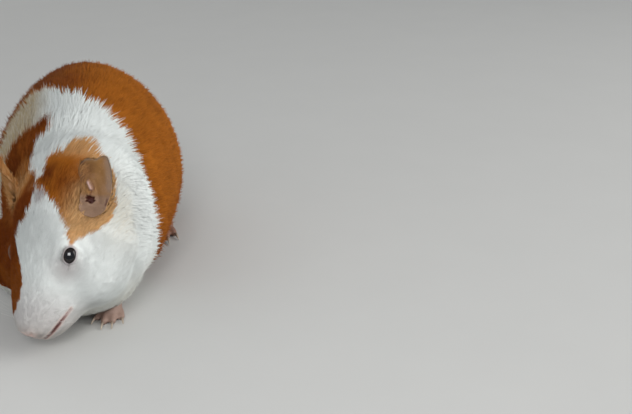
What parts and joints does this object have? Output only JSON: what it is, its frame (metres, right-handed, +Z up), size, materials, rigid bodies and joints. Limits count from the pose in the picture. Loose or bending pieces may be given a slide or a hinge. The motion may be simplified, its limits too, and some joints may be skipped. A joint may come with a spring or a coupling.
{
  "type": "guinea pig model",
  "caption": "Life-size still model of a short-haired guinea pig, crouched with its head down and turned to its right, as a museum or display figure.",
  "frame": {"origin": "on the floor under the middle of the model's box", "axes": "+Z up, the animal faces -Y, its left side is +X"},
  "size_m": [0.1106, 0.2296, 0.1059],
  "materials": {
    "white_coat": "short soft fur",
    "orange_coat": "short soft fur",
    "ear_skin": "thin bare skin",
    "foot_skin": "bare pink skin",
    "eye": "wet gloss",
    "claw": "smooth horn"
  },
  "bodies": {
    "root": {"ear_left": "ear_skin", "ear_right": "ear_skin", "eye_left": "eye", "eye_right": "eye", "foreclaw_left_1": "claw", "foreclaw_left_2": "claw", "foreclaw_left_3": "claw", "foreclaw_left_4": "claw", "foreclaw_right_1": "claw", "foreclaw_right_2": "claw", "foreclaw_right_3": "claw", "foreclaw_right_4": "claw", "forefoot_left": "foot_skin", "forefoot_right": "foot_skin", "foreleg_left": "white_coat", "foreleg_right": "white_coat", "head": "white_coat", "hindclaw_left_1": "claw", "hindclaw_left_2": "claw", "hindclaw_left_3": "claw", "hindclaw_right_1": "claw", "hindclaw_right_2": "claw", "hindclaw_right_3": "claw", "hindfoot_left": "foot_skin", "hindfoot_right": "foot_skin", "hindleg_left": "orange_coat", "hindleg_right": "orange_coat", "neck": "white_coat", "trunk": "orange_coat"}
  },
  "joints": []
}
